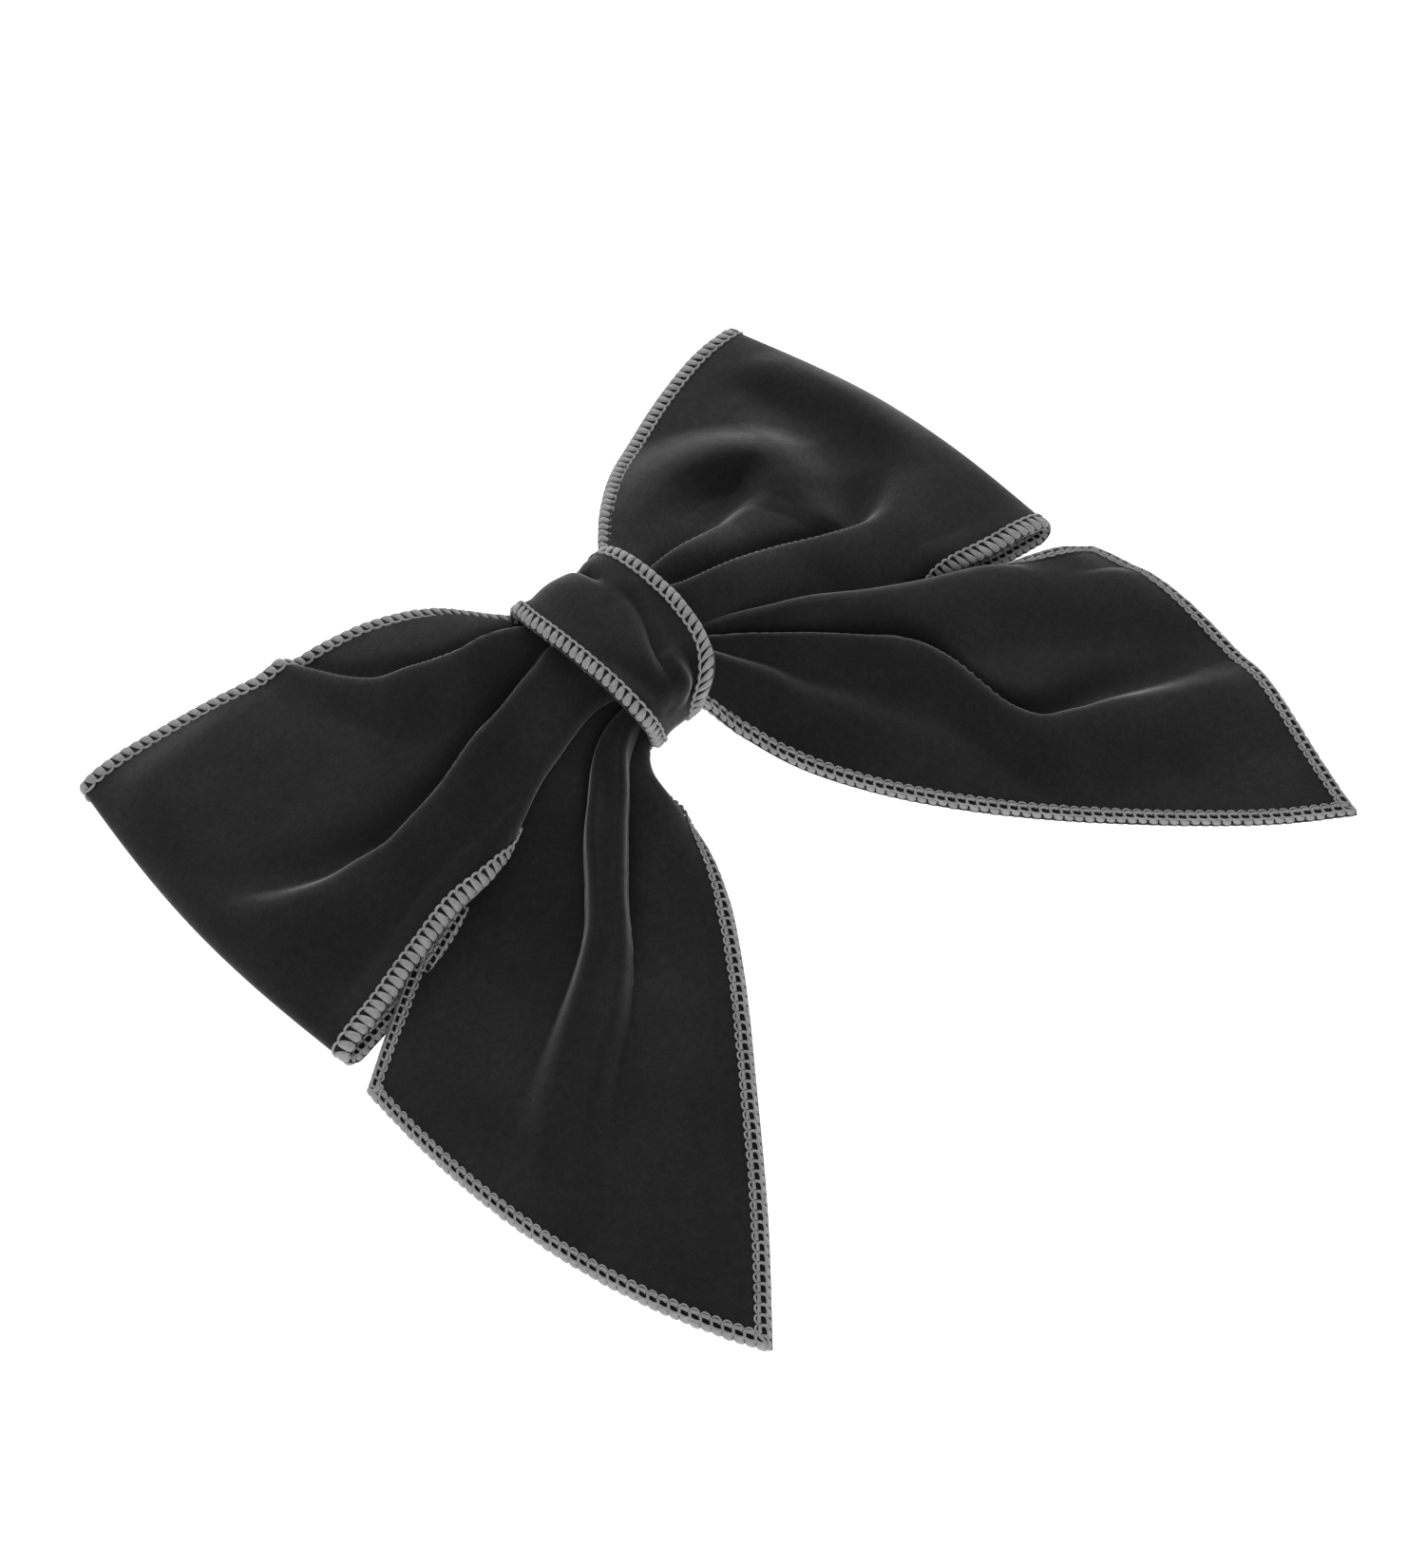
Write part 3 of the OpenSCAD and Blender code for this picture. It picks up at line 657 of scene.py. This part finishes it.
def loop_panels(upper, lower, folds, tuck, v):
    """The rows of one loop: its top layer, the turn at its end, then its under layer."""
    over = np.linspace(0, math.pi / 2, END_ROWS)
    s = np.concatenate([GATHERED_ROWS[:-1], np.linspace(GATHERED, END_S, TOP_ROWS)[:-1],
                        END_S + (LAST - END_S) * np.sin(over)])
    top = panel(lower, upper, folds, s, v, LOOP_ARCH, tuck, NO_TUCK)
    end = top[-END_ROWS:, :, 2]
    top[-END_ROWS:, :, 2] = END_Z + (end - END_Z) * np.cos(over)[:, None]
    sign = side_of(upper)
    swell = (RIGHT_SWELL if sign > 0 else LEFT_SWELL) * np.sin(math.pi * v)[None]
    top[:, :, 0] += sign * swell * ease(s, 5.5, LAST)[:, None]
    under_s = np.linspace(LAST, GATHERED, UNDER_ROWS)[:-1]
    under_s = np.concatenate([under_s, GATHERED_ROWS[::-1]])
    inset = keyed(UNDER_INSET, under_s)
    low, high = through(lower, under_s), through(upper, under_s)
    span = np.linalg.norm(high - low, axis=1)
    share = (inset / span)[:, None] * (1 - v)[None]
    under = low[:, None] * (1 - v - share)[..., None] + high[:, None] * (v + share)[..., None]
    under[..., 2] -= keyed(UNDER_DEPTH, under_s)[:, None]
    fade = ease(under_s, 5, 1) * ease(under_s, 0, 1)
    under[..., 2] += UNDER_WAVE * np.sin(v * UNDER_WAVES)[None] * fade[:, None]
    under[..., 2] = np.maximum(under[..., 2], UNDER_Z)
    # The lower half of the turn, eased into the first rows of the under layer.
    angles = np.linspace(math.pi / 2, math.pi, 9)[1:-1]
    under[:, :, 0] += sign * (swell - END_IN) * ease(under_s, 6, LAST)[:, None]
    drop = END_Z - UNDER_Z
    turn = np.stack([under[0] + [sign * END_IN * math.sin(a), 0, drop * (1 + math.cos(a))]
                     for a in angles])
    return np.concatenate([top, turn, under])


def make_loops(material):
    v = np.linspace(0, 1, LOOP_COLUMNS)
    right = loop_panels(RIGHT_LOOP_UPPER, RIGHT_LOOP_LOWER, RIGHT_LOOP_FOLDS, RIGHT_LOOP_TUCK, v)
    left = loop_panels(LEFT_LOOP_UPPER, LEFT_LOOP_LOWER, LEFT_LOOP_FOLDS, LEFT_LOOP_TUCK, v)
    right[-1, :, 0] += END_GAP
    left[-1, :, 0] -= END_GAP
    grid = join_halves(left, right)
    return cloth_object("velvet_loops", grid, CLOTH_T, material), grid


def tail_panel(outer, inner, folds, tucks, v):
    s = np.concatenate([GATHERED_ROWS[:-1], np.linspace(GATHERED, LAST, TAIL_ROWS)])
    grid = panel(inner, outer, folds, s, v, TAIL_ARCH, *tucks)
    sign = side_of(outer)
    out = unit(np.array([sign, CUT_SLOPE, 0.0]))
    skew = v ** (RIGHT_CUT_SKEW if sign > 0 else LEFT_CUT_SKEW)
    bulge = CUT_SWELL * ease(s, 4.5, LAST)[:, None] * (4 * skew * (1 - skew))[None]
    return grid + out * bulge[..., None]


def make_tails(material):
    v = np.linspace(0, 1, TAIL_COLUMNS)
    right = tail_panel(RIGHT_TAIL_OUTER, RIGHT_TAIL_INNER, RIGHT_TAIL_FOLDS, RIGHT_TAIL_TUCKS, v)
    left = tail_panel(LEFT_TAIL_OUTER, LEFT_TAIL_INNER, LEFT_TAIL_FOLDS, LEFT_TAIL_TUCKS, v)
    grid = join_halves(left, right)
    grid[..., 2] = np.maximum(grid[..., 2], TAIL_LOWEST)
    return cloth_object("velvet_tails", grid, CLOTH_T, material), grid


# ---- The knot ----------------------------------------------------------------------------------

KNOT_MIDDLE = np.array([0.0, 3.0, 17.6])    # the middle of the wrap's section
KNOT_HALF_Y = 17.3                          # and half its size
KNOT_HALF_Z = 9.2
KNOT_SQUARENESS = 2.9
KNOT_ROWS = 220
KNOT_COLUMNS = 61
# The wrap's two edges, as (angle, x): 0 points away from the tails, and 90 straight up.
KNOT_LEFT = [(0, -10), (25, -10.8), (60, -12.4), (90, -12.8), (112, -12.9), (136, -12.7),
             (174, -10.9), (190, -9.4), (230, -7), (270, -6), (310, -7), (360, -10)]
KNOT_RIGHT = [(0, 10), (29, 10.9), (68, 10.9), (89, 10.4), (101, 9.4), (123, 7.9), (143, 6.2),
              (162, 3.9), (178, 2.1), (195, 1.9), (230, 3.5), (270, 5), (310, 7), (360, 10)]
# Creases and puffs, as a path of (angle, x, depth in mm) and a width in mm.
KNOT_CREASES = [
    # The notch at the back.
    ([(20, 4.3, 1.0), (45, 3.9, 2.0), (60, 3.4, 1.4), (68, 2.9, 0.5), (76, 2.3, 0)], 1.3),
    # The main crease, and the hollow beside it.
    ([(78, 4.6, 0), (88, 3.4, 0.8), (94, 2.0, 1.2), (101, 0.6, 1.5), (112, -1.1, 1.6),
      (126, -2.2, 1.2), (142, -3.0, 0)], 1.35),
    ([(84, 6.4, 0), (96, 5.0, 0.6), (112, 2.6, 0.8), (126, 0.8, 0)], 2.4),
    # The raised tuck in front, and the crease behind it.
    ([(118, -0.4, 0), (130, -0.8, -0.8), (144, -1.1, -1.1), (156, -1.4, -1.1), (166, -2.2, -0.6),
      (176, -3.4, 0)], 1.1),
    ([(124, 2.6, 0), (140, 2.0, 0.9), (158, 1.2, 1.0), (174, 0.0, 0.4)], 1.3),
    # The broad puff, and the shallow crease near the left edge.
    ([(30, -2.5, -0.8), (60, -2, -0.9), (90, -4, -0.4), (120, -6, 0)], 4.0),
    ([(100, -9, 0.5), (130, -7.5, 0.7), (165, -6, 0.4)], 2.2),
]
CREASE_POINTS = 60
FLARE_WIDE = 3.4
FLARE_HIGH = 2.2


def knot_grid():
    """The wrap, as rings round the waist: rows go round it, and columns across it along X."""
    a = np.linspace(0, FULL_TURN, KNOT_ROWS, endpoint=False)
    deg = np.degrees(a)
    left, right = keyed(KNOT_LEFT, deg), keyed(KNOT_RIGHT, deg)
    y = KNOT_HALF_Y * rounded(np.cos(a), KNOT_SQUARENESS)
    z = KNOT_HALF_Z * rounded(np.sin(a), KNOT_SQUARENESS)
    x = left[:, None] + (right - left)[:, None] * np.linspace(0, 1, KNOT_COLUMNS)
    ring = np.stack(np.broadcast_arrays(x, y[:, None], z[:, None]), -1)
    outward = np.stack([np.zeros(KNOT_ROWS), y / KNOT_HALF_Y**2, z / KNOT_HALF_Z**2], -1)
    outward = unit(outward)[:, None]
    arc = lengths(np.stack([y, z], -1))
    spot = np.stack(np.broadcast_arrays(arc[:, None], x), -1)
    press = np.zeros_like(x)
    for path, width in KNOT_CREASES:
        line = through(path, np.linspace(0, len(path) - 1, CREASE_POINTS))
        crease = np.stack([np.interp(line[:, 0], deg, arc), line[:, 1]], -1)
        apart = np.linalg.norm(spot[:, :, None] - crease, axis=-1)
        press += line[apart.argmin(axis=-1), 2] * np.exp(-(apart.min(axis=-1) / width) ** 2)
    deg = deg[:, None]
    # The upper left corner stands a little higher than the rest.
    press -= 0.8 * np.exp(-((deg - 24) / 16) ** 2) * ease(x, -6, -10)
    # On the tails' side it is drawn in.
    press += ease(deg, 148, 170) * ease(deg, 240, 200) * ease(x, -10, -3)
    # Low down, the right edge flares out.
    flare = np.clip((x - right[:, None] + FLARE_WIDE) / FLARE_WIDE, 0, 1) ** 1.5
    press -= FLARE_HIGH * np.exp(-((deg - 166) / 20) ** 2) * flare
    return KNOT_MIDDLE + ring - outward * press[..., None], outward


def make_knot(material):
    """The wrap and its two seams."""
    grid, outward = knot_grid()
    face = grid_normals(np.concatenate([grid[-1:], grid, grid[:1]]))[1:-1]
    face *= np.sign((face * outward).sum(axis=-1, keepdims=True))
    seams = [Seam(grid[:, column], unit(grid[:, inner] - grid[:, column]), face[:, column],
                  closed=True) for column, inner in INWARD.items()]
    return cloth_object("velvet_knot", grid[:, ::-1], CLOTH_T, material, closed=True), seams


# ---- Overlock stitching ------------------------------------------------------------------------

INWARD = {0: 3, -1: -4}     # for each edge column of a grid, the column that shows the way in
ROUGH = 0.06                # how far stitches and threads stray, in mm


class Strands:
    """Collects strands of thread into one mesh."""

    def __init__(self):
        self.verts, self.faces, self.uvs, self.count = [], [], [], 0

    def add(self, points, faces, uv):
        self.verts.append(points)
        self.uvs.append(uv)
        self.faces.extend(tuple(corner + self.count for corner in face) for face in faces)
        self.count += len(points)

    def object(self, name, material):
        verts, uvs = np.concatenate(self.verts), np.concatenate(self.uvs)
        return new_object(name, verts, self.faces, material, uvs)


def grid_faces(n, m, wrap=False):
    return [(i * m + j, (i + 1) * m + j, (i + 1) * m + (j + 1) % m, i * m + (j + 1) % m)
            for i in range(n - 1) for j in range(m if wrap else m - 1)]


def tube(strands, path, radius, up, sides=6):
    """A round thread along a path."""
    along = unit(np.gradient(path, axis=0))
    side = unit(np.cross(along, up))
    top = np.cross(side, along)
    angle = np.arange(sides) * FULL_TURN / sides
    ring = side[:, None] * np.cos(angle)[:, None] + top[:, None] * np.sin(angle)[:, None]
    radius = np.broadcast_to(radius, len(path))[:, None, None]
    points = (path[:, None] + ring * radius).reshape(-1, 3)
    uv = np.stack(np.meshgrid(lengths(path), angle / FULL_TURN, indexing="ij"), -1)
    strands.add(points, grid_faces(len(path), sides, wrap=True), uv.reshape(-1, 2))


GATHER_MIDDLE = np.array([0.0, 3.0, 18.1])
GATHER_HALF = np.array([0.0, 15.6, 6.6])    # half the size of a turn of gathering thread
GATHER_SQUARENESS = 6
GATHER_TURNS = (-0.9, 0, 0.9)               # the place of each turn along X
PLY_TWIST = 1.5                             # mm of thread to each twist of its plies
PLY_OUT = 0.16
PLY_RADIUS = 0.17


def make_gathers(material):
    """Three turns of two-ply thread round the waist, inside the knot."""
    strands = Strands()
    turn = np.linspace(0, FULL_TURN, 481)
    out = np.stack([np.zeros_like(turn), rounded(np.cos(turn), GATHER_SQUARENESS),
                    rounded(np.sin(turn), GATHER_SQUARENESS)], -1)
    for x in GATHER_TURNS:
        core = GATHER_MIDDLE + [x, 0, 0] + out * GATHER_HALF
        length = lengths(core)
        twist = FULL_TURN * np.round(length[-1] / PLY_TWIST) * length / length[-1]
        for phase in (0, math.pi):
            ply = unit(out) * np.sin(twist + phase)[:, None]
            ply[:, 0] = np.cos(twist + phase)
            tube(strands, core + PLY_OUT * ply, PLY_RADIUS, unit(out))
    return strands.object("gathering_thread", material)


class Seam:
    """The edge of a cloth, with the way into the cloth and the way out of its face all along."""

    def __init__(self, edge, inward, normal, closed=False):
        self.edge, self.inward, self.normal, self.closed = edge, inward, normal, closed
        self.at = lengths(np.concatenate([edge, edge[:1]]) if closed else edge)
        self.length = self.at[-1]

    def _read(self, values, d):
        v = np.concatenate([values, values[:1]]) if self.closed else values
        d = np.mod(d, self.length) if self.closed else np.clip(d, 0, self.length)
        return np.stack([np.interp(d, self.at, v[:, k]) for k in range(3)], -1)

    def place(self, d, w, n):
        """The point w mm into the cloth from its edge and n mm out of its middle, at distance d."""
        inward, normal = unit(self._read(self.inward, d)), self.face(d)
        return self._read(self.edge, d) + inward * w[..., None] + normal * n[..., None]

    def face(self, d):
        return unit(self._read(self.normal, d))


# Across the edge, a stitch runs over the face, round the edge and back under the cloth: (into the
# cloth, out of its middle) in mm. Stitches are broad at the edge and narrow at the inner end.
STITCH_PATH = np.array([(2.2, 0.72), (1.95, 0.95), (1.35, 1.08), (0.65, 1.08), (-0.05, 0.95),
                        (-0.45, 0.5), (-0.56, 0.0), (-0.45, -0.5), (-0.1, -0.85)])
STITCH_WIDE = np.array([0.4, 0.56, 0.7, 0.84, 0.95, 1.0, 1.02, 1.0, 0.9])
STITCH_SLANT = np.array([1.0, 0.88, 0.62, 0.34, 0.1, 0.0, -0.05, -0.1, -0.15])
# A stitch's section: places across it, and how far each lies below its top.
ROUND = np.array([-1.0, -0.8, -0.42, 0.0, 0.42, 0.8, 1.0])
DOME = np.array([-0.42, -0.17, -0.03, 0.0, -0.03, -0.17, -0.42])
# On the other side: rows of thread that repeat at every stitch, as (share of a pitch, into the
# cloth, out of its middle) in mm, each with its radius.
BRAID = (
    ([(-0.46, 1.5, 0.7), (-0.36, 1.9, 0.84), (-0.16, 2.16, 0.9), (0.0, 2.2, 0.92),
      (0.16, 2.16, 0.9), (0.36, 1.9, 0.84), (0.46, 1.5, 0.7)], 0.2),
    ([(-0.34, 1.42, 0.8), (-0.12, 1.5, 0.95), (0.12, 1.5, 0.95), (0.34, 1.42, 0.8)], 0.31),
    ([(0.5, 1.6, 0.68), (0.47, 1.2, 0.86), (0.53, 0.8, 0.98), (0.5, 0.3, 0.86),
      (0.5, -0.1, 0.7)], 0.25),
    ([(-0.5, 0.3, 0.86), (-0.25, 0.16, 0.84), (0.0, 0.1, 0.8), (0.25, 0.16, 0.84),
      (0.5, 0.3, 0.86)], 0.24),
)
# The looper thread over the stitches' inner ends, as (value at a stitch, what is added half way to
# the next): into the cloth, out of its middle, and its radius, in mm.
LOOPER_IN = (1.98, 0.56)
LOOPER_OUT = (0.98, -0.12)
LOOPER_RADIUS = (0.19, 0.07)
LOOPER_POINTS = 12      # to each stitch
STITCH_UV = 4           # the texture's length and width on a stitch, and its shift to the next
STITCH_UV_WIDE = 1.6
STITCH_UV_SHIFT = 1.7


def overlock(name, seam, end, material, face, seed, pitch, reach, lean):
    """Stitches along a seam, apart from the last end mm at both its ends.

    face=1 shows the broad stitches on the cloth's face, and -1 on its back. reach scales the
    stitches across the edge, and lean is how far their inner ends run ahead in mm.
    """
    rng = np.random.default_rng(seed)
    strands = Strands()
    n_along, n_over = len(STITCH_PATH), len(ROUND)
    faces = grid_faces(n_along, n_over)
    out = unit(np.gradient(STITCH_PATH, axis=0))
    length, breadth = np.linspace(0, STITCH_UV, n_along), (ROUND + 1) * STITCH_UV_WIDE / 2
    count = round((seam.length - 2 * end) / pitch)
    step = (seam.length - 2 * end) / count
    for k in range(count):
        middle = end + (k + 0.5) * step
        jitter = rng.uniform(-ROUGH, ROUGH, 3)
        wide = STITCH_WIDE[:, None] * step / 2 * (1 + jitter[0])
        d = middle + jitter[1] + lean * STITCH_SLANT[:, None] + ROUND * wide
        dome = DOME * wide
        w = STITCH_PATH[:, :1] * reach + jitter[2] + out[:, 1:] * dome
        n = STITCH_PATH[:, 1:] - out[:, :1] * dome
        points = seam.place(d, w, face * n).reshape(-1, 3)
        uv = np.stack(np.meshgrid(length + k * STITCH_UV_SHIFT, breadth, indexing="ij"), -1)
        strands.add(points, faces, uv.reshape(-1, 2))
    # The looper thread that scallops over the gaps between the stitches' inner ends.
    t = np.linspace(0, count, count * LOOPER_POINTS + 1)
    wave = np.abs(np.cos(math.pi * t))
    d = end + (t + 0.1 * np.sin(FULL_TURN * t)) * step + lean
    w, n, radius = (at + more * wave for at, more in (LOOPER_IN, LOOPER_OUT, LOOPER_RADIUS))
    tube(strands, seam.place(d, w * reach, face * n), radius, face * seam.face(d))
    for k in range(count):
        for path, radius in BRAID:
            share, w, n = np.array(path).T
            d = end + (k + 0.5 + share) * step
            w = w * reach + rng.uniform(-ROUGH, ROUGH)
            tube(strands, seam.place(d, w, -face * n), radius, -face * seam.face(d), sides=5)
    return strands.object(name, material)


def grid_seam(grid, column):
    """The seam along one column of a cloth's grid, as placed by the cloth itself."""
    inward = unit(grid[:, INWARD[column]] - grid[:, column])
    return Seam(grid[:, column], inward, grid_normals(grid)[:, column])


CORNER = 4      # how many columns the stitches take to turn a tail's corner


def tail_seam(grid, side):
    """The seam round one tail, from the knot along the short edge, down the cut and back."""
    half = grid.shape[0] // 2
    g = grid[half:] if side > 0 else grid[: half + 1][::-1]
    normal = side * grid_normals(g)
    cols = g.shape[1]
    short = [(g[i, -1], g[i, -4] - g[i, -1], normal[i, -1]) for i in range(len(g) - 1)]
    cut = []
    for j in range(cols - 1, -1, -1):
        into = g[-4, j] - g[-1, j]
        # At the two corners the direction turns into both edges.
        for near, other in ((j - (cols - 1 - CORNER), j - CORNER), (CORNER - j, j + CORNER)):
            if near > 0:
                share = 0.5 * near / CORNER
                into = unit(into) * (1 - share) + unit(g[-1, other] - g[-1, j]) * share
        cut.append((g[-1, j], into, normal[-1, j]))
    long = [(g[i, 0], g[i, 3] - g[i, 0], normal[i, 0]) for i in range(len(g) - 2, -1, -1)]
    edge, inward, face = map(np.array, zip(*short, *cut, *long))
    return Seam(edge, unit(inward), face)


# ---- Build -------------------------------------------------------------------------------------

make_camera()
make_stage()
velvet = velvet_material()
grey_thread = thread_material("edge_thread", (0.09, 0.09, 0.09), (0.23, 0.23, 0.23))
black_thread = thread_material("gather_thread", (0.008, 0.008, 0.008), (0.02, 0.02, 0.02))
steel = steel_material()

loops, loop_grid = make_loops(velvet)
tails, tail_grid = make_tails(velvet)
knot, knot_seams = make_knot(velvet)

# Each seam's node, its bare length at both ends, the side of the broad stitches, and the stitches'
# pitch, reach and lean.
SEAMS = {
    "stitching_loops_upper": ("loop_edge_upper", grid_seam(loop_grid, -1), 0, 1, 2.0, 1.0, 0.6),
    "stitching_loops_lower": ("loop_edge_lower", grid_seam(loop_grid, 0), 0, 1, 1.7, 1.05, -0.6),
    "stitching_tail_right": ("tail_edge", tail_seam(tail_grid, 1), 6, -1, 1.85, 1.0, 0.6),
    "stitching_tail_left": ("tail_edge", tail_seam(tail_grid, -1), 6, -1, 1.85, 1.0, 0.6),
    "stitching_knot_left": ("knot_edge_left", knot_seams[0], 0, 1, 1.65, 0.85, -0.7),
    "stitching_knot_right": ("knot_edge_right", knot_seams[1], 0, 1, 1.8, 0.9, 0.7),
}
FIRST_SEED = 3
stitches = {}
for name, (node, seam, end, face, pitch, reach, lean) in SEAMS.items():
    seed = FIRST_SEED + len(stitches)
    piece = overlock(name, seam, end, grey_thread, face, seed, pitch, reach, lean)
    stitches[name] = piece
    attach(piece, "bow")
    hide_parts(node)
gathers = make_gathers(black_thread)
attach(gathers, "bow")
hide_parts("gather_thread")

for piece, node in ((loops, "loop_ribbon"), (tails, "tail_ribbon"), (knot, "knot_wrap")):
    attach(piece, "bow")
    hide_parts(node)

for name in ("base_plate", "tension_bar", "clasp_arm", "hinge_pin"):
    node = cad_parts[name]
    node.data.materials.clear()
    node.data.materials.append(steel)
